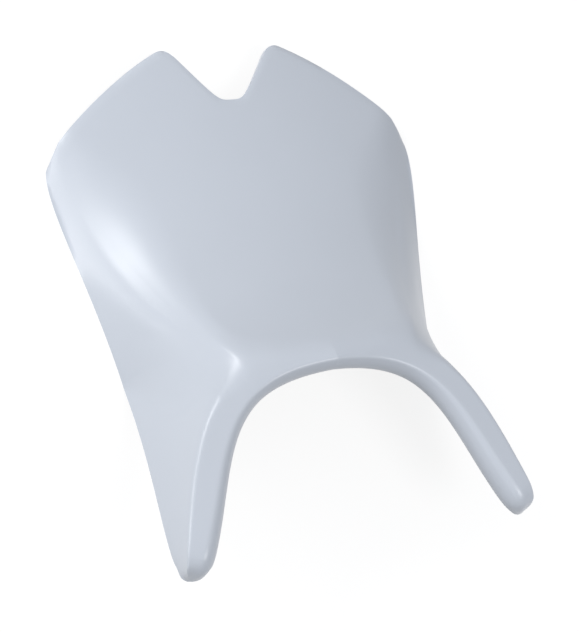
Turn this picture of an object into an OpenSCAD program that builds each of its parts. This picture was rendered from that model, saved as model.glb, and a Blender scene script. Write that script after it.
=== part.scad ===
// Race seat base for a motorcycle, one hollow moulding in glass fibre.
// A dished seat panel with an M shaped rear edge, two side flanks that rest on the ground,
// and a raised collar that runs round a U shaped cut-out and out along two front arms.
// The shape is mirror equal about the X = 0 plane. Front is -Y, up is +Z, the flanks stand on Z = 0.
// Sizes in millimetres.

/* [Seat panel] */
// Half width of the panel at the rear corners
rear_half_width = 152; // [120:1:180]
// How far the rear corners sit behind the front corners of the panel
rear_corner_y = 234; // [180:1:280]
// Height of the rear edge at the middle, above the ground
rear_height = 29; // [20:1:45]
// How much lower the panel is at its sides than in the middle
crown = 13; // [2:1:20]
// Height that the panel climbs to at the collar
crest_height = 117; // [95:1:140]
// How sharply the panel climbs just behind the collar, 2 is an even dish
dish_power = 2.4; // [2:0.1:3.5]
// Outward bow of the long sides of the panel
side_bow = 7; // [0:1:12]

/* [Rear edge] */
// Half distance between the two rear peaks
peak_half_gap = 55; // [40:1:70]
// How far back the peaks reach
peak_y = 308; // [280:1:340]
// Rounding of the peaks
peak_round = 17; // [6:1:24]
// How far back the bottom of the notch lies
notch_y = 254; // [235:1:275]
// Rounding of the notch bottom
notch_round = 24; // [10:1:32]
// Rise of the notch sides for each millimetre sideways
notch_steepness = 1.6; // [1:0.1:2]
// Depth of the turned down rear edge
rear_edge_depth = 7; // [5:1:14]
// How far the turned down rear edge leans outward
rear_edge_lean = 3; // [2:1:6]

/* [Collar and cut-out] */
// Half width of the panel at its front corners, where the collar, panel and flank meet
front_half_width = 71; // [60:1:90]
// How far the crest of the collar lies behind the front corners, at the middle
crest_back = 3; // [0:1:12]
// Height of the collar top at the middle
collar_height = 119; // [100:1:140]
// Fall of the collar and arm tops for each millimetre outward
collar_fall = 0.12; // [0.04:0.01:0.18]
// Distance from the front corners forward to the top of the U cut-out
cutout_top_y = 10; // [6:1:20]
// Half width of the cut-out at the tips of the arms
cutout_half_mouth = 127; // [110:1:145]
// Depth of the lip that hangs from the cut-out edge, at the middle
lip_depth = 14; // [10:1:20]
// Depth of the lip at the tips of the arms
lip_tip_depth = 18; // [15:1:24]
// Rounding of the cut-out edge at the middle
lip_round = 4; // [4:0.5:6]
// Rounding of the cut-out edge at the tips of the arms
lip_tip_round = 9; // [5:0.5:11]
// Lean of the lip from upright where it leaves that round, in degrees
lip_lean = 35; // [25:1:45]

/* [Front arms] */
// How far forward the arms reach before their rounded ends
arm_reach = 136; // [110:1:160]
// Width of the arm top at its end
arm_end_width = 9; // [8:0.5:16]
// Height of the lower edge of the flank at the arm end
arm_end_low = 75; // [62:1:84]
// Length of the rounded end of each arm
nose_length = 7; // [5:1:14]
// Distance of the tip of an arm from the line of its outer ridge
nose_inset = 7; // [3:1:9]
// How far the tip of an arm lies below the arm top
nose_drop = 32; // [20:1:40]

/* [Flanks] */
// Half width over the lower edges at the rear corners
base_rear_half = 163; // [145:1:190]
// Half width over the lower edges at the bellies, where the flanks are deepest
base_front_half = 135; // [120:1:155]
// How far the bellies sit behind the front corners of the panel
belly_y = 24; // [8:1:40]

// How far the turn of the flank below the front corners is spread, as a share of its length
flank_blend = 0.6; // [0:0.1:0.9]

/* [Skin] */
// Wall thickness of the moulding
wall = 3; // [2:0.5:3.5]
// Softness of the shoulder at the rear corners
soft_rear = 10; // [3:1:14]
// Softness of the shoulder half way along the panel
soft_middle = 34; // [16:1:50]
// Softness at the front corners of the panel
soft_corner = 14; // [5:1:18]
// Softness of the collar crest
soft_crest = 10; // [5:1:18]
// Softness of the ridge along the outer edge of the arms
soft_ridge = 5; // [3:1:8]

/* [Hidden] */
// Part list and the part to draw
// Colour of the satin glass fibre skin
skin_color = [0.80, 0.83, 0.87];
// Mesh steps: across the notch, from peak to corner, along the panel, along an arm, round an arm end
n_notch = 7;
n_outer = 10;
n_across = n_notch + n_outer;
n_long = 24;
n_arm = 16;
n_nose = 4;
// Mesh steps: down the flank, over the collar top, round and down the lip
n_deep = 8;
n_top = 5;
n_lip = 7;
// Softness of the turned down rear edge
soft_edge = 3;
// How far a rounded arm end closes in, 1 would be a point
nose_close = 0.95;
// Turn of the lip section at the end of its round, at its foot and at the rolled under edge
lip_turns = [90 - lip_lean, 100, 150];
roll_round = 3.5;

// Small helpers
function mix(a, b, t) = (1 - t)*a + t*b;
function unit(v) = v/norm(v);
function flat(v) = [v[0], v[1]];
function bezier(p, t) = len(p) == 1 ? p[0]
    : bezier([for (i = [0:len(p) - 2]) mix(p[i], p[i + 1], t)], t);
// Step k of n on 0..1, set closer together near both ends
function crowd(k, n) = k/n - 0.09*sin(360*k/n);
// Softened lower of two surfaces, each given as height, slope in X and slope in Y
function soft_low(a, b, k) =
    let (h = max(k - abs(a[0] - b[0]), 0)/k, w = min(max(0.5 + (b[0] - a[0])/(2*k), 0), 1))
    concat([min(a[0], b[0]) - h*h*k/4], w*[a[1], a[2]] + (1 - w)*[b[1], b[2]]);

// Rear edge of the panel in plan: a rounded notch, a peak and a bowed line to the corner
diagonal_fall = (peak_y - rear_corner_y)/(rear_half_width - peak_half_gap)*0.68;
diagonal_bend = (peak_y - rear_corner_y)*0.32/pow(rear_half_width - peak_half_gap, 2);
function rear_y(x) =
    let (d = x - peak_half_gap,
         side = notch_y - notch_round + norm([notch_steepness*x, notch_round]),
         outer = peak_y - diagonal_fall*d - diagonal_bend*d*abs(d))
    soft_low([side, 0, 0], [outer, 0, 0], peak_round)[0];
function rear(s) = [rear_half_width*s, rear_y(rear_half_width*s)];
// Crest of the collar in plan, from the middle to the front corner
function crest(s) = [front_half_width*s, mix(crest_back, 0, s*s)];
// Any point of the panel in plan, s across and t from the rear edge to the crest
function panel_plan(s, t) = mix(rear(s), crest(s), t) + [4*side_bow*t*(1 - t)*s, 0];
function half_width_at(y) =
    let (t = min(max((rear_corner_y - y)/rear_corner_y, 0), 1.3))
    mix(rear_half_width, front_half_width, t) + 4*side_bow*t*(1 - t);
// Outer ridge of the arm in plan and edge of the cut-out in plan
arm_tip = [cutout_half_mouth + arm_end_width, -arm_reach + 3];
mouth_tip = [cutout_half_mouth, -arm_reach];
function ridge(g) = bezier([crest(1), [front_half_width + 41, -41],
    [arm_tip[0] - 17, -71], arm_tip], g);
function cutout(h) = bezier([[0, -cutout_top_y], [34, -cutout_top_y], [98, -3 - cutout_top_y],
    [93, -74], mouth_tip], h);

// Height of the panel and its slopes
function panel_z(x, y) =
    let (u = max(1 - y/(rear_corner_y + 15), 0), q = abs(x)/half_width_at(y))
    rear_height + (crest_height - rear_height)*pow(u, dish_power)
    - crown*(1 - pow(min(u, 1), 4))*q*q - 0.02*max(y - rear_corner_y - 15, 0);
function panel_field(x, y) = [panel_z(x, y),
    panel_z(x + 0.5, y) - panel_z(x - 0.5, y), panel_z(x, y + 0.5) - panel_z(x, y - 0.5)];
// Height of the collar and arm tops and their slopes
function collar_field(x, y) = [collar_height - collar_fall*abs(x), -collar_fall*sign(x), 0];
function top_field(x, y) = soft_low(panel_field(x, y), collar_field(x, y), soft_crest);

// The shoulder line runs along m: -1 notch, 0 rear corner, 1 front corner, 2 arm end
function shoulder(m) = m < 0 ? rear(1 + m) : m <= 1 ? panel_plan(1, m) : ridge(m - 1);
function shoulder_z(m) =
    let (f = shoulder(m))
    m <= 1 ? min(panel_z(f[0], f[1]), collar_field(f[0], f[1])[0]) : collar_field(f[0], f[1])[0];
// Softness of the shoulder along the same line
function softness(m) = m <= 0 ? soft_rear
    : m <= 1 ? let (a = mix(soft_rear, soft_corner, m))
        a + (soft_middle - a)*max(0, 1 - pow(2*m - 1, 2))
    : mix(soft_corner, soft_ridge, min(1, 3*(m - 1)));
// Lower edge of the flank along the same line
corner_low = [base_rear_half + 1, rear_corner_y - 19, 0];
function rear_out(s) =
    let (a = rear(max(s - 0.01, 0)), b = rear(s + 0.01), d = unit(b - a))
    s == 0 ? [0, 1] : [-d[1], d[0]];
function low(m) = m < 0
    ? let (s = 1 + m, f = rear(s), n = rear_out(s), e = f + rear_edge_lean*n)
        mix([e[0], e[1], panel_z(f[0], f[1]) - rear_edge_depth], corner_low, pow(s, 6))
    : m <= 1 ? bezier([corner_low, [base_rear_half + 7, rear_corner_y - 50, 0],
        [base_rear_half - 18, 110, 0], [base_front_half, belly_y, 0]], m)
    : bezier([[base_front_half, belly_y, 0], [base_front_half - 1, belly_y - 16, 2],
        [base_front_half - 2, -43, 46], [base_front_half + 7, -108, 66],
        [arm_tip[0] + 2, arm_tip[1], arm_end_low]], m - 1);
function steepness(m) = (shoulder_z(m) - low(m)[2])/norm(flat(low(m)) - shoulder(m));
function inward(m) = unit(shoulder(m) - flat(low(m)));
// Flank as a sloping surface seen from any point at distance d inward of the shoulder line
function flank_field(m, d) = concat([shoulder_z(m) + steepness(m)*d], steepness(m)*inward(m));
function skin_field(x, y, m, d) = soft_low(top_field(x, y), flank_field(m, d), softness(m));

// Outer point and the point of the inner face behind it
function both(x, y, f) =
    let (p = [x, y, f[0]]) [p, p + wall*unit([f[1], f[2], -1])];
function drop(f, d) = [f[0] - d, f[1], f[2]];

// Panel points
function panel_point(s, t) = t == 0 ? flank_point(s - 1, 0)
    : let (p = panel_plan(s, t), d = norm(p - shoulder(t))) both(p[0], p[1], skin_field(p[0], p[1], t, d));

// Flank points, v is 0 at the shoulder and 1 at the lower edge
function lift(pair, z) = [pair[0], [pair[1][0], pair[1][1], max(pair[1][2], z)]];
function flank_point(m, v) = lift(flank_raw(m, v), low(m)[2] + (v == 1 ? 0 : 2*(1 - v)));
function flank_raw(m, v) =
    let (a = shoulder(m), b = low(m), p = mix(a, flat(b), v))
    v == 1 ? [b, b + concat(wall*norm([1, steepness(m)])/steepness(m)*inward(m), [0])]
    : m < 0
    ? let (here = skin_field(p[0], p[1], 0, norm(p - shoulder(0))),
           top = skin_field(a[0], a[1], 0, norm(a - shoulder(0))),
           k = (top[0] - b[2])/norm(flat(b) - a),
           edge = concat([mix(top[0], b[2], v)], k*inward(m)))
        both(p[0], p[1], soft_low(here, edge, soft_edge))
    : let (l = flank_line(m, v),
           f = soft_low(top_field(l[0], l[1]), [l[2], l[3], l[4]], softness(m)))
        both(l[0], l[1], drop(f, m == 0 ? soft_edge/4*(1 - v) : 0));
// Straight line down the flank, with its slopes, then the same evened out along the flank,
// so that the turn of the shoulder at the front corner does not leave a groove below it
function flank_straight(m, v) = concat(mix(concat(shoulder(m), [shoulder_z(m)]), low(m), v),
    steepness(m)*inward(m));
function flank_line(m, v) =
    let (d = 2*flank_blend*v*(1 - v)*min(1, 3*m, 3*(2 - m)))
    d <= 0 ? flank_straight(m, v)
    : (flank_straight(m - d, v) + 4*flank_straight(m - d/2, v) + 6*flank_straight(m, v)
        + 4*flank_straight(m + d/2, v) + flank_straight(m + d, v))/16;

// Collar points, q is 0 at the middle, 1 at the front corner, 2 at the arm end,
// and w is 0 at the crest or ridge and 1 at the edge of the cut-out
function collar_out(q) = q <= 1 ? crest(q) : ridge(q - 1);
function collar_in(q) = cutout(q <= 1 ? 0.40*q : 0.40 + 0.60*(q - 1));
function collar_point(q, w) =
    let (a = collar_out(q), p = mix(a, collar_in(q), w), m = max(q, 1),
         d = norm(p - (q <= 1 ? crest(1) : a)))
    both(p[0], p[1], skin_field(p[0], p[1], m, d));

// Lip points hang from the edge of the cut-out: a round, a gently curved face and a rolled edge
function cut_dir(q) =
    let (t = unit(collar_in(min(q + 0.01, 2)) - collar_in(max(q - 0.01, 0)))) [t[1], -t[0]];
function arc(from, radius, a, b) =
    [from[0] + radius*(sin(b) - sin(a)), from[1] + radius*(cos(b) - cos(a)), b];
function lip_section(k, drop_by, round_by) =
    let (a = lip_turns, face = (drop_by - round_by*(1 - cos(a[0])))/(cos(a[0]) - cos(a[1])),
         top = arc([0, 0], round_by, 0, a[0]), foot = arc(top, face, a[0], a[1]))
    k <= 3 ? arc([0, 0], round_by, 0, a[0]*k/3)
    : k <= 5 ? arc(top, face, a[0], mix(a[0], a[1], (k - 3)/2))
    : arc(foot, roll_round, a[1], mix(a[1], a[2], (k - 5)/2));
function lip_point(q, k) =
    let (e = collar_point(q, 1)[0], n = cut_dir(q),
         g = lip_section(k, mix(lip_depth, lip_tip_depth, q/2),
             mix(lip_round, lip_tip_round, max(q - 1, 0))),
         p = e + [n[0]*g[0], n[1]*g[0], g[1]])
    [p, p - wall*[n[0]*sin(g[2]), n[1]*sin(g[2]), cos(g[2])]];

// Rounded arm ends: the last section closes in on the tip while it runs forward
nose_dir = unit(ridge(1) - ridge(0.94) + cutout(1) - cutout(0.94));
nose_mid = concat(arm_tip + nose_inset*unit(mouth_tip - arm_tip),
    [collar_field(arm_tip[0], 0)[0] - nose_drop]);
function close_in(p, u, len) =
    let (e = concat(nose_dir, [0]), r = p - nose_mid, a = (r*e)*e, k = sqrt(1 - pow(nose_close*u, 2)))
    nose_mid + a + k*(r - a) + len*sin(90*u)*e;
function nose_pair(pair, u) =
    [close_in(pair[0], u, nose_length), close_in(pair[1], u, nose_length - wall)];

// Steps along each direction
function s_at(i) = i <= n_notch ? crowd(i, n_notch)*peak_half_gap/rear_half_width
    : mix(peak_half_gap/rear_half_width, 1, crowd(i - n_notch, n_outer));
function t_at(j) = 1 - pow(1 - j/n_long, 1.25);
function v_at(k) = pow(k/n_deep, 1.35);
n_side = n_across + n_long + n_arm + n_nose;
n_ring = n_across + n_arm + n_nose;
function m_at(i) = i < n_across ? s_at(i) - 1
    : i <= n_across + n_long ? t_at(i - n_across) : min(1 + (i - n_across - n_long)/n_arm, 2);
function q_at(i) = i <= n_across ? s_at(i) : min(1 + (i - n_across)/n_arm, 2);
function past(i, n) = max(i - (n - n_nose), 0)/n_nose;

function side_pair(i, k) =
    let (p = flank_point(m_at(i), v_at(k))) past(i, n_side) > 0 ? nose_pair(p, past(i, n_side)) : p;
function ring_pair(i, k) =
    let (p = k <= n_top ? collar_point(q_at(i), k/n_top) : lip_point(q_at(i), k - n_top))
    past(i, n_ring) > 0 ? nose_pair(p, past(i, n_ring)) : p;
function mirrored(pair, i) = i < 0 ? [for (p = pair) [-p[0], p[1], p[2]]]
    : i == 0 ? [for (p = pair) [0, p[1], p[2]]] : pair;

// Point pairs of the three sheets, each from the left side over the middle to the right side
n_rows = n_top + n_lip;
panel_pairs = [for (j = [0:n_long]) for (i = [-n_across:n_across])
    mirrored(panel_point(s_at(abs(i)), t_at(j)), i)];
side_pairs = [for (k = [0:n_deep]) for (i = [-n_side:n_side]) mirrored(side_pair(abs(i), k), i)];
ring_pairs = [for (k = [0:n_rows]) for (i = [-n_ring:n_ring]) mirrored(ring_pair(abs(i), k), i)];
pairs = concat(panel_pairs, side_pairs, ring_pairs);
outer_points = [for (p = pairs) p[0]];
inner_points = [for (p = pairs) p[1]];
// Middle of the length, so that the origin is on the ground below the middle of the moulding
middle_y = (max([for (p = outer_points) p[1]]) + min([for (p = outer_points) p[1]]))/2;
total = len(pairs);

// Index of a point in each sheet
function ip(j, i) = j*(2*n_across + 1) + i + n_across;
function is(k, i) = len(panel_pairs) + k*(2*n_side + 1) + i + n_side;
function ir(k, i) = len(panel_pairs) + len(side_pairs) + k*(2*n_ring + 1) + i + n_ring;
function two(a, b, c, d) = [[a, b, c], [a, c, d]];
function flip(f) = [f[2], f[1], f[0]];
function shift(f) = [f[0] + total, f[1] + total, f[2] + total];

// Chain round the section at an arm end, from the lower edge of the flank to the foot of the lip,
// closed in strips between its two sides and at the top in a fan from the ridge
function end_chain(g) = concat([for (k = [n_deep:-1:0]) is(k, g*n_side)],
    [for (k = [1:n_rows]) ir(k, g*n_ring)]);
function end_faces(g) =
    let (c = end_chain(g), n = len(c) - 1, top = n/2)
    [for (f = concat(
        [for (k = [0:top - 3]) for (f = two(c[k], c[k + 1], c[n - k - 1], c[n - k])) f],
        [for (k = [top - 1:top + 1]) [c[top - 2], c[k], c[k + 1]]])) g > 0 ? flip(f) : f];
skin_faces = concat(
    [for (j = [0:n_long - 1]) for (i = [-n_across:n_across - 1])
        for (f = two(ip(j, i), ip(j, i + 1), ip(j + 1, i + 1), ip(j + 1, i))) f],
    [for (k = [0:n_deep - 1]) for (i = [-n_side:n_side - 1])
        for (f = two(is(k, i), is(k + 1, i), is(k + 1, i + 1), is(k, i + 1))) f],
    [for (k = [0:n_rows - 1]) for (i = [-n_ring:n_ring - 1])
        for (f = two(ir(k, i), ir(k, i + 1), ir(k + 1, i + 1), ir(k + 1, i))) f],
    end_faces(1), end_faces(-1));
// Trimmed edge that joins the outer and inner faces all the way round
rim = concat([for (i = [-n_side:n_side]) is(n_deep, i)], [for (i = [n_ring:-1:-n_ring]) ir(n_rows, i)]);
rim_faces = [for (i = [0:len(rim) - 1]) let (a = rim[i], b = rim[(i + 1)%len(rim)])
    for (f = two(a, a + total, b + total, b)) f];

// The whole moulding
module seat_shell() {
    color(skin_color)
    translate([0, -middle_y, 0])
    polyhedron(points = concat(outer_points, inner_points),
        faces = concat(skin_faces, [for (f = skin_faces) flip(shift(f))], rim_faces));
}

seat_shell();
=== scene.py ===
"""Race seat base: the hollow moulding, its two finishes, the light and the camera."""

import math

import bpy
import numpy as np
from mathutils import Matrix, Vector


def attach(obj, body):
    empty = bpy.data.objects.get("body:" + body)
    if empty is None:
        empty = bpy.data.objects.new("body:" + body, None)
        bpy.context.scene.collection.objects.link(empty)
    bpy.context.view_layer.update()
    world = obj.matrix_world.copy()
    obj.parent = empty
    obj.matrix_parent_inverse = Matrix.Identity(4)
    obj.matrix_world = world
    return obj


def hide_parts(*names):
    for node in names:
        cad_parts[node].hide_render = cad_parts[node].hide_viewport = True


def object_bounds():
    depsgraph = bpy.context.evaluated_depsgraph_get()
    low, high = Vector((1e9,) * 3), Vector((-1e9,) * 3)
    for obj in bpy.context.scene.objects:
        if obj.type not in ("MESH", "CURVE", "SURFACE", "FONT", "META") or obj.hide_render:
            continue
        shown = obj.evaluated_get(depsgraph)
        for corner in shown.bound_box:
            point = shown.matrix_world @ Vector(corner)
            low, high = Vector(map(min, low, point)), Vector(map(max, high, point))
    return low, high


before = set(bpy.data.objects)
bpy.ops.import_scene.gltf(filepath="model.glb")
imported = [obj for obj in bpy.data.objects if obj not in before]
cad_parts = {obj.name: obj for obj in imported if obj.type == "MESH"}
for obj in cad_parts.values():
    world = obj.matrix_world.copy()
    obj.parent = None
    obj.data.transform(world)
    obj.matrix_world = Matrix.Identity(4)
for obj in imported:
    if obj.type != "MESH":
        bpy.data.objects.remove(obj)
cad_low, cad_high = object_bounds()

# Sizes in mm, as in the part unless a comment says otherwise
REAR_HALF_WIDTH, REAR_CORNER_Y, REAR_HEIGHT, CROWN = 152, 234, 29, 13
CREST_HEIGHT, DISH_POWER, SIDE_BOW = 117, 2.4, 7
PEAK_HALF_GAP, PEAK_Y, PEAK_ROUND = 55, 308, 17
# Unlike the part's, this notch has straighter sides, a wider bottom and an edge that leans less
NOTCH_Y, NOTCH_ROUND, NOTCH_STEEPNESS, NOTCH_POWER = 255.5, 18.5, 1.55, 4
REAR_EDGE_DEPTH, REAR_EDGE_LEAN, NOTCH_EDGE_LEAN, DIAG_SHARE = 7, 3, 0.6, 0.68
FRONT_HALF_WIDTH, CREST_BACK, COLLAR_HEIGHT, COLLAR_FALL = 71, 3, 119, 0.12
CUTOUT_TOP_Y, CUTOUT_HALF_MOUTH = 10, 127
LIP_DEPTH, LIP_TIP_DEPTH, LIP_ROUND, LIP_TIP_ROUND, LIP_LEAN, ROLL_ROUND = 14, 18, 4, 9, 35, 3.5
LIP_TURNS = [math.radians(90 - LIP_LEAN), math.radians(100), math.radians(150)]
ARM_REACH, ARM_END_WIDTH, ARM_END_LOW = 136, 9, 75
NOSE_LENGTH = 7
# The arm ends are rounded over a longer stretch than the part's few steps can: from this far back,
# towards a tip this far in from the ridge and below the top, down to this share of the section
NOSE_BACK, NOSE_INSET, NOSE_DROP, NOSE_CLOSE, NOSE_POWER = 12, 8, 24, 0.03, 0.5
# Lowest outer and inner points of a flank above its lower edge
EDGE_LIFT_OUT, EDGE_LIFT_IN = 0.3, 2
BASE_REAR_HALF, BASE_FRONT_HALF, BELLY_Y, FLANK_BLEND, WALL = 163, 135, 24, 0.6, 3
SOFT_REAR, SOFT_MIDDLE, SOFT_CORNER, SOFT_CREST, SOFT_RIDGE, SOFT_EDGE = 10, 34, 14, 10, 5, 3
RIDGE_POINTS = ((41, -41), (-17, -71))
CUT_POINTS = ((34, 0), (98, -3), (93, -74))
CUT_SHARE = 0.40
LOW_REAR = ((7, -50), (-18, 110))
LOW_FRONT = ((-1, -16, 2), (-2, -43, 46), (7, -108, 66))
LOW_TIP_OUT, CORNER_IN = 2, (1, -19)
ARM_TIP = (CUTOUT_HALF_MOUTH + ARM_END_WIDTH, -ARM_REACH + 3)
MOUTH_TIP = (CUTOUT_HALF_MOUTH, -ARM_REACH)


# The surface, as in the part, from here to the lip
def mix(a, b, t):
    return tuple((1 - t) * x + t * y for x, y in zip(a, b))


def bezier(points, t):
    while len(points) > 1:
        points = [mix(points[i], points[i + 1], t) for i in range(len(points) - 1)]
    return points[0]


def soft_low(a, b, k):
    """Softened lower of two surfaces, each (height, slope in X, slope in Y)."""
    h = max(k - abs(a[0] - b[0]), 0) / k
    w = min(max(0.5 + (b[0] - a[0]) / (2 * k), 0), 1)
    return (min(a[0], b[0]) - h * h * k / 4,
            w * a[1] + (1 - w) * b[1], w * a[2] + (1 - w) * b[2])


def rear_y(x):
    reach, span = PEAK_Y - REAR_CORNER_Y, REAR_HALF_WIDTH - PEAK_HALF_GAP
    d = x - PEAK_HALF_GAP
    powers = abs(NOTCH_STEEPNESS * x) ** NOTCH_POWER + NOTCH_ROUND**NOTCH_POWER
    side = NOTCH_Y - NOTCH_ROUND + powers ** (1 / NOTCH_POWER)
    away = PEAK_Y - reach / span * DIAG_SHARE * d - reach * (1 - DIAG_SHARE) / span**2 * d * abs(d)
    return soft_low((side, 0, 0), (away, 0, 0), PEAK_ROUND)[0]


def rear(s):
    return (REAR_HALF_WIDTH * s, rear_y(REAR_HALF_WIDTH * s))


def crest(s):
    return (FRONT_HALF_WIDTH * s, (1 - s * s) * CREST_BACK)


def panel_plan(s, t):
    p = mix(rear(s), crest(s), t)
    return (p[0] + 4 * SIDE_BOW * t * (1 - t) * s, p[1])


def half_width_at(y):
    t = min(max((REAR_CORNER_Y - y) / REAR_CORNER_Y, 0), 1.3)
    return (1 - t) * REAR_HALF_WIDTH + t * FRONT_HALF_WIDTH + 4 * SIDE_BOW * t * (1 - t)


def ridge(g):
    (x1, y1), (x2, y2) = RIDGE_POINTS
    return bezier([crest(1), (FRONT_HALF_WIDTH + x1, y1), (ARM_TIP[0] + x2, y2), ARM_TIP], g)


def cutout(h):
    top = -CUTOUT_TOP_Y
    (x1, y1), (x2, y2), (x3, y3) = CUT_POINTS
    return bezier([(0, top), (x1, y1 + top), (x2, y2 + top), (x3, y3), MOUTH_TIP], h)


def panel_z(x, y):
    u = max(1 - y / (REAR_CORNER_Y + 15), 0)
    q = abs(x) / half_width_at(y)
    return (REAR_HEIGHT + (CREST_HEIGHT - REAR_HEIGHT) * u**DISH_POWER
            - CROWN * (1 - min(u, 1) ** 4) * q * q - 0.02 * max(y - REAR_CORNER_Y - 15, 0))


def top_field(x, y):
    panel = (panel_z(x, y), panel_z(x + 0.5, y) - panel_z(x - 0.5, y),
             panel_z(x, y + 0.5) - panel_z(x, y - 0.5))
    collar = (COLLAR_HEIGHT - COLLAR_FALL * abs(x), -COLLAR_FALL if x > 0 else 0, 0)
    return soft_low(panel, collar, SOFT_CREST)


def shoulder(m):
    return rear(1 + m) if m < 0 else panel_plan(1, m) if m <= 1 else ridge(m - 1)


def shoulder_z(m):
    f = shoulder(m)
    c = COLLAR_HEIGHT - COLLAR_FALL * abs(f[0])
    return min(panel_z(*f), c) if m <= 1 else c


def softness(m):
    if m <= 0:
        return SOFT_REAR
    if m <= 1:
        a = (1 - m) * SOFT_REAR + m * SOFT_CORNER
        return a + (SOFT_MIDDLE - a) * max(0, 1 - (2 * m - 1) ** 2)
    t = min(1, 3 * (m - 1))
    return (1 - t) * SOFT_CORNER + t * SOFT_RIDGE


def rear_out(s):
    if s == 0:
        return (0, 1)
    a, b = rear(max(s - 0.01, 0)), rear(s + 0.01)
    n = math.hypot(b[0] - a[0], b[1] - a[1])
    return (-(b[1] - a[1]) / n, (b[0] - a[0]) / n)


def low(m):
    corner = (BASE_REAR_HALF + CORNER_IN[0], REAR_CORNER_Y + CORNER_IN[1], 0)
    if m < 0:
        s = 1 + m
        f, n = rear(s), rear_out(s)
        share = min(s * REAR_HALF_WIDTH / PEAK_HALF_GAP, 1) ** 3
        out = (1 - share) * NOTCH_EDGE_LEAN + share * REAR_EDGE_LEAN
        edge = (f[0] + out * n[0], f[1] + out * n[1], panel_z(*f) - REAR_EDGE_DEPTH)
        return mix(edge, corner, s**6)
    if m <= 1:
        (x1, y1), (x2, y2) = LOW_REAR
        return bezier([corner, (BASE_REAR_HALF + x1, REAR_CORNER_Y + y1, 0),
                       (BASE_REAR_HALF + x2, y2, 0), (BASE_FRONT_HALF, BELLY_Y, 0)], m)
    (x1, y1, z1), (x2, y2, z2), (x3, y3, z3) = LOW_FRONT
    return bezier([(BASE_FRONT_HALF, BELLY_Y, 0), (BASE_FRONT_HALF + x1, BELLY_Y + y1, z1),
                   (BASE_FRONT_HALF + x2, y2, z2), (BASE_FRONT_HALF + x3, y3, z3),
                   (ARM_TIP[0] + LOW_TIP_OUT, ARM_TIP[1], ARM_END_LOW)], m - 1)


def lean(m):
    """Steepness of the flank and the inward direction in plan."""
    b, f = low(m), shoulder(m)
    n = math.hypot(b[0] - f[0], b[1] - f[1])
    return (shoulder_z(m) - b[2]) / n, ((f[0] - b[0]) / n, (f[1] - b[1]) / n)


def skin_field(x, y, m, d):
    k, n = lean(m)
    return soft_low(top_field(x, y), (shoulder_z(m) + k * d, k * n[0], k * n[1]), softness(m))


def both(x, y, f):
    """Outer point of a height field, and the inner one a wall thickness in along its normal."""
    n = WALL / math.sqrt(f[1] ** 2 + f[2] ** 2 + 1)
    return ((x, y, f[0]), (x + n * f[1], y + n * f[2], f[0] - n))


def panel_point(s, t):
    if t == 0:
        return flank_point(s - 1, 0)
    p, c = panel_plan(s, t), shoulder(t)
    return both(*p, skin_field(*p, t, math.hypot(p[0] - c[0], p[1] - c[1])))


def flank_straight(m, v):
    a = shoulder(m)
    k, n = lean(m)
    return mix((a[0], a[1], shoulder_z(m)), low(m), v) + (k * n[0], k * n[1])


def flank_line(m, v):
    d = 2 * FLANK_BLEND * v * (1 - v) * min(1, 3 * m, 3 * (2 - m))
    if d <= 0:
        return flank_straight(m, v)
    parts = [(w, flank_straight(m + e, v)) for w, e in
             ((1, -d), (4, -d / 2), (6, 0), (4, d / 2), (1, d))]
    return tuple(sum(w * p[i] for w, p in parts) / 16 for i in range(5))


def flank_raw(m, v):
    a, b = shoulder(m), low(m)
    if v == 1:
        k, n = lean(m)
        w = WALL * math.hypot(1, k) / k
        return (b, (b[0] + w * n[0], b[1] + w * n[1], b[2]))
    if m < 0:
        p, c = mix(a, b[:2], v), shoulder(0)
        here = skin_field(*p, 0, math.hypot(p[0] - c[0], p[1] - c[1]))
        top = skin_field(*a, 0, math.hypot(a[0] - c[0], a[1] - c[1]))
        k = (top[0] - b[2]) / math.hypot(b[0] - a[0], b[1] - a[1])
        n = lean(m)[1]
        edge = ((1 - v) * top[0] + v * b[2], k * n[0], k * n[1])
        return both(*p, soft_low(here, edge, SOFT_EDGE))
    l = flank_line(m, v)
    f = soft_low(top_field(l[0], l[1]), l[2:], softness(m))
    return both(l[0], l[1], (f[0] - (SOFT_EDGE / 4 * (1 - v) if m == 0 else 0), f[1], f[2]))


def flank_point(m, v):
    """Outer and inner point of the flank, neither below its lower edge."""
    a, b = flank_raw(m, v)
    edge = low(m)[2]
    return ((a[0], a[1], max(a[2], edge + EDGE_LIFT_OUT * (1 - v))),
            (b[0], b[1], max(b[2], edge + EDGE_LIFT_IN * (1 - v))))


def collar_out(q):
    return crest(q) if q <= 1 else ridge(q - 1)


def collar_in(q):
    return cutout(CUT_SHARE * q if q <= 1 else CUT_SHARE + (1 - CUT_SHARE) * (q - 1))


def collar_point(q, w):
    a = collar_out(q)
    p = mix(a, collar_in(q), w)
    c = crest(1) if q <= 1 else a
    return both(*p, skin_field(*p, max(q, 1), math.hypot(p[0] - c[0], p[1] - c[1])))


def arc(start, radius, a, b):
    return (start[0] + radius * (math.sin(b) - math.sin(a)),
            start[1] + radius * (math.cos(b) - math.cos(a)), b)


def lip_section(u, drop, radius):
    """Reach, drop and angle of the lip: its round (u to 1), its face (to 2) and its roll (to 3)."""
    a, b, c = LIP_TURNS
    face = (drop - radius * (1 - math.cos(a))) / (math.cos(a) - math.cos(b))
    if u <= 1:
        return arc((0, 0), radius, 0, a * u)
    top = arc((0, 0), radius, 0, a)
    if u <= 2:
        return arc(top, face, a, a + (b - a) * (u - 1))
    return arc(arc(top, face, a, b), ROLL_ROUND, b, b + (c - b) * (u - 2))


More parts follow.
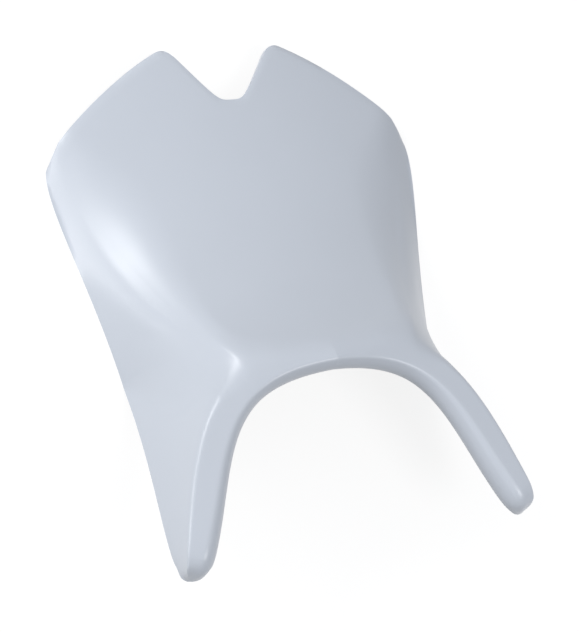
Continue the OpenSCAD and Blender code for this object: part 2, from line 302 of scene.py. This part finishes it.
def lip_point(q, u):
    e = collar_point(q, 1)[0]
    a, b = collar_in(max(q - 0.01, 0)), collar_in(min(q + 0.01, 2))
    d = math.hypot(b[0] - a[0], b[1] - a[1])
    n = ((b[1] - a[1]) / d, -(b[0] - a[0]) / d)
    t = max(q - 1, 0)
    g = lip_section(u, (1 - q / 2) * LIP_DEPTH + q / 2 * LIP_TIP_DEPTH,
                    (1 - t) * LIP_ROUND + t * LIP_TIP_ROUND)
    p = (e[0] + n[0] * g[0], e[1] + n[1] * g[0], e[2] + g[1])
    s, c = WALL * math.sin(g[2]), WALL * math.cos(g[2])
    return (p, (p[0] - n[0] * s, p[1] - n[1] * s, p[2] - c))


def nose_axis():
    """Forward direction of an arm end and the tip that its sections close in on."""
    r1, r0, c1, c0 = ridge(1), ridge(0.94), cutout(1), cutout(0.94)
    ahead = Vector((r1[0] - r0[0] + c1[0] - c0[0], r1[1] - r0[1] + c1[1] - c0[1], 0)).normalized()
    share = NOSE_INSET / math.dist(ARM_TIP, MOUTH_TIP)
    tip = Vector(mix(ARM_TIP, MOUTH_TIP, share)
                 + (COLLAR_HEIGHT - COLLAR_FALL * ARM_TIP[0] - NOSE_DROP,))
    return ahead, tip


NOSE_AHEAD, NOSE_TIP = nose_axis()
ARM_SPEED = math.dist(ridge(1), ridge(0.99)) / 0.01
NOSE_START = 2 - NOSE_BACK / ARM_SPEED


def nose_step(u):
    """How far along the rounded end a step is, in mm, and how far its section has closed in."""
    angle = u * math.acos(NOSE_CLOSE)
    return ((NOSE_BACK + NOSE_LENGTH) * math.sin(angle) / math.sin(math.acos(NOSE_CLOSE)),
            math.cos(angle) ** NOSE_POWER)


def close_in(p, forward, size):
    """Draws a point in towards the line through the tip, and moves it forward."""
    r = Vector(p) - NOSE_TIP
    along = r.dot(NOSE_AHEAD) * NOSE_AHEAD
    return tuple(NOSE_TIP + along + size * (r - along) + forward * NOSE_AHEAD)


# Fine mesh of the moulding: numbers of steps
N_NOTCH, N_OUTER, N_LONG, N_ARM, N_NOSE = 18, 26, 64, 48, 14
N_DEEP, N_TOP, N_ROUND, N_STRAIGHT, N_ROLL = 22, 12, 7, 4, 6
EVEN_COLUMNS, EVEN_ROUNDS = N_NOSE + 8, 8
N_ACROSS = N_NOTCH + N_OUTER
N_SIDE = N_ACROSS + N_LONG + N_ARM + N_NOSE
N_RING = N_ACROSS + N_ARM + N_NOSE
CROWDING, FLANK_CROWDING, PANEL_CROWDING = 0.09, 1.35, 1.25
LIP_STEPS = ([k / N_ROUND for k in range(1, N_ROUND + 1)]
             + [1 + k / N_STRAIGHT for k in range(1, N_STRAIGHT + 1)]
             + [2 + k / N_ROLL for k in range(1, N_ROLL + 1)])


def crowd(k, n):
    """Share k / n, with the steps closer together at both ends, and exactly 1 at the last."""
    return k / n - (CROWDING * math.sin(2 * math.pi * k / n) if k < n else 0)


def s_at(i):
    peak = PEAK_HALF_GAP / REAR_HALF_WIDTH
    if i <= N_NOTCH:
        return crowd(i, N_NOTCH) * peak
    return peak + (1 - peak) * crowd(i - N_NOTCH, N_OUTER)


def t_at(j):
    return 1 - (1 - j / N_LONG) ** PANEL_CROWDING


def arm_at(i, half):
    """Place along an arm of column i, and its step along the rounded end."""
    u = max(i - (half - N_NOSE), 0) / N_NOSE
    if u == 0:
        return 1 + (NOSE_START - 1) * (i - (half - N_NOSE - N_ARM)) / N_ARM, 0
    return min(NOSE_START + nose_step(u)[0] / ARM_SPEED, 2), u


def side_pair(i, k):
    v = (k / N_DEEP) ** FLANK_CROWDING
    if i <= N_ACROSS + N_LONG:
        return flank_point(s_at(i) - 1 if i < N_ACROSS else t_at(i - N_ACROSS), v)
    m, u = arm_at(i, N_SIDE)
    return nose_pair(flank_point(m, v), u)


def ring_pair(i, k):
    q, u = (s_at(i), 0) if i <= N_ACROSS else arm_at(i, N_RING)
    p = collar_point(q, k / N_TOP) if k <= N_TOP else lip_point(q, LIP_STEPS[k - N_TOP - 1])
    return nose_pair(p, u)


def nose_pair(pair, u):
    if u == 0:
        return pair
    reach, size = nose_step(u)
    forward = max(reach - NOSE_BACK, 0)
    return (close_in(pair[0], forward, size),
            close_in(pair[1], forward * (1 - WALL / NOSE_LENGTH), size))


def sheet_of(function, half, rows):
    """Rows of (outer, inner) points from the left side over the middle to the right side."""
    out = []
    for k in range(rows + 1):
        right = [function(i, k) for i in range(half + 1)]
        right[0] = tuple((0.0, p[1], p[2]) for p in right[0])
        left = [tuple((-p[0], p[1], p[2]) for p in pair) for pair in right[:0:-1]]
        out.append(left + right)
    return out


def even_out(sheet):
    """Evens out the last columns of a sheet at both arm ends, where they close."""
    for row in sheet:
        for _ in range(EVEN_ROUNDS):
            old = list(row)
            for i in range(1, EVEN_COLUMNS):
                for j in (i, len(row) - 1 - i):
                    row[j] = tuple(tuple((a + 2 * b + c) / 4 for a, b, c in zip(*three))
                                   for three in zip(old[j - 1], old[j], old[j + 1]))


panel_sheet = sheet_of(lambda i, j: panel_point(s_at(i), t_at(j)), N_ACROSS, N_LONG)
side_sheet = sheet_of(side_pair, N_SIDE, N_DEEP)
ring_sheet = sheet_of(ring_pair, N_RING, N_TOP + len(LIP_STEPS))
even_out(side_sheet)
even_out(ring_sheet)
outer = [p[0] for sheet in (panel_sheet, side_sheet, ring_sheet) for row in sheet for p in row]
MIDDLE_Y = (max(p[1] for p in outer) + min(p[1] for p in outer)) / 2
# From mm to m, for each axis. It also brings the fine mesh to the size of the part's box: the
# mesh is 1.3 mm shorter along Y, because its arm ends are rounder, and is stretched by as much.
FIT = [(cad_high[i] - cad_low[i]) / (max(p[i] for p in outer) - min(p[i] for p in outer))
       for i in range(3)]


def grid_faces(sheet, side, turn):
    rows, cols = len(sheet), len(sheet[0])
    for j in range(rows - 1):
        for i in range(cols - 1):
            f = [sheet[j][i][side], sheet[j][i + 1][side],
                 sheet[j + 1][i + 1][side], sheet[j + 1][i][side]]
            yield f[::-1] if turn else f


def end_chain(end, side):
    """Section at an arm end, from the lower edge of the flank to the foot of the lip."""
    col = -1 if end > 0 else 0
    return ([row[col][side] for row in side_sheet[::-1]]
            + [row[col][side] for row in ring_sheet[1:]])


def end_faces(end, side, turn):
    """Strips between the two sides of that section, then a fan from the ridge over its top."""
    c = end_chain(end, side)
    n = len(c) - 1
    faces = [[c[k], c[k + 1], c[n - k - 1], c[n - k]] for k in range(N_DEEP)]
    faces += [[c[N_DEEP], c[k], c[k + 1]] for k in range(N_DEEP + 1, n - N_DEEP)]
    return [f[::-1] if turn else f for f in faces]


def skin_faces(side):
    flip = side == 1
    faces = list(grid_faces(panel_sheet, side, not flip))
    faces += grid_faces(side_sheet, side, flip)
    faces += grid_faces(ring_sheet, side, not flip)
    faces += end_faces(1, side, not flip)
    faces += end_faces(-1, side, flip)
    return faces


def rim_faces():
    """Closes the gap between the outer and the inner face round the open edge."""
    loop = list(side_sheet[-1]) + list(ring_sheet[-1])[::-1]
    for a, b in zip(loop, loop[1:] + loop[:1]):
        yield [a[0], b[0], b[1], a[1]]


SHORTEST_EDGE, RELAX_SHARE, CORNER_ROUNDS, NOSE_ROUNDS, NOSE_RADIUS = 1e-5, 0.5, 60, 30, 0.020
CORNER_SPOTS = ((0.02, 0.030), (0.25, 0.034), (0.5, 0.036))  # place down the flank, radius in m
SAME_POINT = (1000, 0.137)  # points per mm, and a shift that keeps round numbers off the limit
SHARP_ANGLE = 50


def open_corners(mesh):
    """Corners on the open edge of a mesh."""
    seen = {}
    for poly in mesh.polygons:
        for key in poly.edge_keys:
            seen[key] = seen.get(key, 0) + 1
    return {corner for key, count in seen.items() if count == 1 for corner in key}


def relax(mesh, spots, rounds):
    """Evens out a mesh round each spot (place, radius in m), fading to nothing at the radius."""
    count = len(mesh.vertices)
    place = np.empty(count * 3)
    mesh.vertices.foreach_get("co", place)
    place = place.reshape(-1, 3)
    ends = np.empty(len(mesh.edges) * 2, dtype=int)
    mesh.edges.foreach_get("vertices", ends)
    first, second = ends.reshape(-1, 2).T
    pull = 1 / np.maximum(np.linalg.norm(place[first] - place[second], axis=1), SHORTEST_EDGE)
    pulls = np.bincount(first, pull, count) + np.bincount(second, pull, count)
    weight = np.zeros(count)
    for spot, radius in spots:
        apart = ((place - np.array(spot)) ** 2).sum(axis=1)
        weight = np.maximum(weight, np.clip(1 - apart / radius**2, 0, 1))
    weight[list(open_corners(mesh))] = 0
    for _ in range(rounds):
        total = np.zeros_like(place)
        np.add.at(total, first, pull[:, None] * place[second])
        np.add.at(total, second, pull[:, None] * place[first])
        place += RELAX_SHARE * weight[:, None] * (total / pulls[:, None] - place)
    mesh.vertices.foreach_set("co", place.ravel())
    mesh.update()


def front_corner_spots():
    """Where the panel, the collar and a flank meet, and two places down the flank from there."""
    for v, radius in CORNER_SPOTS:
        x, y, z = flank_point(1, v)[0]
        for side in (-1, 1):
            yield (side * x * FIT[0], (y - MIDDLE_Y) * FIT[1], z * FIT[2]), radius


def nose_spots():
    """The foremost place of each arm end."""
    x, y, z = NOSE_TIP + NOSE_LENGTH * NOSE_AHEAD
    for side in (-1, 1):
        yield (side * x * FIT[0], (y - MIDDLE_Y) * FIT[1], z * FIT[2]), NOSE_RADIUS


def build(name, faces):
    """A mesh object in metres from faces given as corner points in mm, with shared corners."""
    index, points, polys = {}, [], []
    for face in faces:
        poly = []
        for p in face:
            key = tuple(round(SAME_POINT[0] * c + SAME_POINT[1]) for c in p)
            if key not in index:
                index[key] = len(points)
                points.append((p[0] * FIT[0], (p[1] - MIDDLE_Y) * FIT[1], p[2] * FIT[2]))
            if index[key] not in poly:
                poly.append(index[key])
        if len(poly) > 2:
            polys.append(poly)
    mesh = bpy.data.meshes.new(name)
    mesh.from_pydata(points, [], polys)
    mesh.validate()
    relax(mesh, front_corner_spots(), CORNER_ROUNDS)
    relax(mesh, nose_spots(), NOSE_ROUNDS)
    obj = bpy.data.objects.new(name, mesh)
    bpy.context.scene.collection.objects.link(obj)
    for poly in mesh.polygons:
        poly.use_smooth = True
    mesh.set_sharp_from_angle(angle=math.radians(SHARP_ANGLE))
    return obj


# Materials
def node_material(name):
    mat = bpy.data.materials.new(name)
    mat.use_nodes = True
    tree = mat.node_tree
    shader = tree.nodes["Principled BSDF"]
    return mat, tree, shader


def noise(tree, scale, detail=2.0, rough=0.5):
    coord = tree.nodes.new("ShaderNodeTexCoord")
    tex = tree.nodes.new("ShaderNodeTexNoise")
    tex.inputs["Scale"].default_value = scale
    tex.inputs["Detail"].default_value = detail
    tex.inputs["Roughness"].default_value = rough
    tree.links.new(coord.outputs["Object"], tex.inputs["Vector"])
    return tex


def ramp(tree, source, stops):
    node = tree.nodes.new("ShaderNodeValToRGB")
    node.color_ramp.elements[0].position, node.color_ramp.elements[0].color = stops[0]
    node.color_ramp.elements[1].position, node.color_ramp.elements[1].color = stops[1]
    tree.links.new(source, node.inputs["Fac"])
    return node


def spread(tree, source, low_value, high_value):
    node = tree.nodes.new("ShaderNodeMapRange")
    node.inputs["To Min"].default_value = low_value
    node.inputs["To Max"].default_value = high_value
    tree.links.new(source, node.inputs["Value"])
    return node


def bump(tree, source, strength, distance):
    node = tree.nodes.new("ShaderNodeBump")
    node.inputs["Strength"].default_value = strength
    node.inputs["Distance"].default_value = distance
    tree.links.new(source, node.inputs["Height"])
    return node


GELCOAT, CLOUD_DARK, CLOUD_LIGHT = (0.643, 0.689, 0.761), 0.985, 1.01
GELCOAT_ROUGHNESS, PEEL_STRENGTH, PEEL_DEPTH = (0.28, 0.34), 0.05, 0.0004
LAMINATE_DARK, LAMINATE_LIGHT = (0.42, 0.45, 0.42), (0.58, 0.60, 0.56)
LAMINATE_ROUGHNESS, STRAND_STRENGTH, STRAND_DEPTH = (0.55, 0.75), 0.5, 0.0008


def gelcoat_material():
    """Satin off-white gelcoat: faint clouding of the colour, fine orange peel, uneven sheen."""
    mat, tree, shader = node_material("gelcoat")
    cloud = noise(tree, 9.0, 3.0)
    dark, light = (tuple(c * share for c in GELCOAT) + (1,) for share in (CLOUD_DARK, CLOUD_LIGHT))
    tone = ramp(tree, cloud.outputs["Fac"], ((0.25, dark), (0.75, light)))
    tree.links.new(tone.outputs["Color"], shader.inputs["Base Color"])
    sheen = noise(tree, 26.0, 2.0)
    rough = spread(tree, sheen.outputs["Fac"], *GELCOAT_ROUGHNESS)
    tree.links.new(rough.outputs["Result"], shader.inputs["Roughness"])
    peel = noise(tree, 420.0, 1.0)
    skin_bump = bump(tree, peel.outputs["Fac"], PEEL_STRENGTH, PEEL_DEPTH)
    tree.links.new(skin_bump.outputs["Normal"], shader.inputs["Normal"])
    return mat


def laminate_material():
    """Raw inner face of the moulding: chopped strands under a matt resin film."""
    mat, tree, shader = node_material("laminate")
    strand = noise(tree, 130.0, 4.0, 0.65)
    tone = ramp(tree, strand.outputs["Fac"],
                ((0.3, LAMINATE_DARK + (1,)), (0.7, LAMINATE_LIGHT + (1,))))
    tree.links.new(tone.outputs["Color"], shader.inputs["Base Color"])
    rough = spread(tree, strand.outputs["Fac"], *LAMINATE_ROUGHNESS)
    tree.links.new(rough.outputs["Result"], shader.inputs["Roughness"])
    strand_bump = bump(tree, strand.outputs["Fac"], STRAND_STRENGTH, STRAND_DEPTH)
    tree.links.new(strand_bump.outputs["Normal"], shader.inputs["Normal"])
    return mat


skin = build("seat_skin", skin_faces(0))
skin.data.materials.append(gelcoat_material())
lining = build("seat_lining", skin_faces(1) + list(rim_faces()))
lining.data.materials.append(laminate_material())
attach(skin, "root")
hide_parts("seat_shell")
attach(lining, "root")

# Floor and background: plain white to the camera and in gloss, with the moulding's shadow kept.
# The floor adds a steady white to a thin layer that takes light, and throws little light back up.
FLOOR_SIZE, FLOOR_TONE, FLOOR_WHITE, FLOOR_GAP = 12, 0.22, 0.86, 0.0005
SKY_COLOR, SKY_STRENGTH = (0.93, 0.95, 1.0), 0.36


def seen_ray(tree):
    """1 for rays from the camera and for rays that gloss or glass sends on, otherwise 0."""
    ray = tree.nodes.new("ShaderNodeLightPath")
    total = ray.outputs["Is Camera Ray"]
    for name in ("Is Glossy Ray", "Is Transmission Ray"):
        add = tree.nodes.new("ShaderNodeMath")
        add.operation = "MAXIMUM"
        tree.links.new(total, add.inputs[0])
        tree.links.new(ray.outputs[name], add.inputs[1])
        total = add.outputs[0]
    return total


bpy.ops.mesh.primitive_plane_add(size=FLOOR_SIZE, location=(0, 0, -FLOOR_GAP))
floor = bpy.context.object
floor.name = "floor"
floor_mat, floor_tree, floor_shader = node_material("floor")
floor_shader.inputs["Base Color"].default_value = (FLOOR_TONE, FLOOR_TONE, FLOOR_TONE, 1)
floor_shader.inputs["Roughness"].default_value = 1.0
floor_shader.inputs["Specular IOR Level"].default_value = 0.0
steady = floor_tree.nodes.new("ShaderNodeEmission")
steady.inputs["Color"].default_value = (FLOOR_WHITE, FLOOR_WHITE, FLOOR_WHITE, 1)
both_layers = floor_tree.nodes.new("ShaderNodeAddShader")
floor_tree.links.new(floor_shader.outputs["BSDF"], both_layers.inputs[0])
floor_tree.links.new(steady.outputs["Emission"], both_layers.inputs[1])
floor_mix = floor_tree.nodes.new("ShaderNodeMixShader")
floor_tree.links.new(seen_ray(floor_tree), floor_mix.inputs["Fac"])
floor_tree.links.new(floor_shader.outputs["BSDF"], floor_mix.inputs[1])
floor_tree.links.new(both_layers.outputs["Shader"], floor_mix.inputs[2])
floor_tree.links.new(floor_mix.outputs["Shader"],
                     floor_tree.nodes["Material Output"].inputs["Surface"])
floor.data.materials.append(floor_mat)

world = bpy.data.worlds.new("studio")
bpy.context.scene.world = world
world.use_nodes = True
world_tree = world.node_tree
sky = world_tree.nodes["Background"]
sky.inputs["Color"].default_value = SKY_COLOR + (1,)
sky.inputs["Strength"].default_value = SKY_STRENGTH
backdrop = world_tree.nodes.new("ShaderNodeBackground")
backdrop.inputs["Color"].default_value = (1, 1, 1, 1)
world_mix = world_tree.nodes.new("ShaderNodeMixShader")
world_tree.links.new(seen_ray(world_tree), world_mix.inputs["Fac"])
world_tree.links.new(sky.outputs["Background"], world_mix.inputs[1])
world_tree.links.new(backdrop.outputs["Background"], world_mix.inputs[2])
world_tree.links.new(world_mix.outputs["Shader"],
                     world_tree.nodes["World Output"].inputs["Surface"])


LAMP_DISTANCE, MIDDLE_HEIGHT = 1.7, 0.06


def area_light(name, direction, size, power):
    """A square soft light in this direction from the moulding, facing its middle."""
    data = bpy.data.lights.new(name, "AREA")
    data.shape = "SQUARE"
    data.size = size
    data.energy = power
    obj = bpy.data.objects.new(name, data)
    bpy.context.scene.collection.objects.link(obj)
    way = Vector(direction).normalized()
    obj.location = way * LAMP_DISTANCE + Vector((0, 0, MIDDLE_HEIGHT))
    obj.rotation_euler = (-way).to_track_quat("-Z", "Y").to_euler()


area_light("key_left_rear", (-0.63, 0.60, 0.50), 0.5, 9)
area_light("low_left", (-0.95, 0.15, 0.30), 0.8, 10)
area_light("front_fill", (0.25, -0.55, 0.80), 0.6, 8)

# Camera at the photograph's view
FRAME_H = 632
FOCAL_PX = 1174.8
RIGHT = Vector((0.93507, -0.22633, 0.27279))
AHEAD = Vector((0.33207, 0.29023, -0.89749))
CAM_MM = (-313.3, -223.9, 887.8)
SENSOR_HEIGHT, NEAREST_SEEN = 36.0, 0.05
camera_data = bpy.data.cameras.new("camera")
camera_data.sensor_fit = "VERTICAL"
camera_data.sensor_height = SENSOR_HEIGHT
camera_data.lens = FOCAL_PX / FRAME_H * camera_data.sensor_height
camera_data.clip_start = NEAREST_SEEN
camera = bpy.data.objects.new("camera", camera_data)
bpy.context.scene.collection.objects.link(camera)
ahead = AHEAD.normalized()
right = (RIGHT - RIGHT.dot(ahead) * ahead).normalized()
turn = Matrix((right, right.cross(ahead), -ahead)).transposed()
place = Vector((CAM_MM[0], CAM_MM[1] - MIDDLE_Y, CAM_MM[2])) / 1000
camera.matrix_world = Matrix.Translation(place) @ turn.to_4x4()
bpy.context.scene.camera = camera
bpy.context.scene.view_settings.view_transform = "Standard"
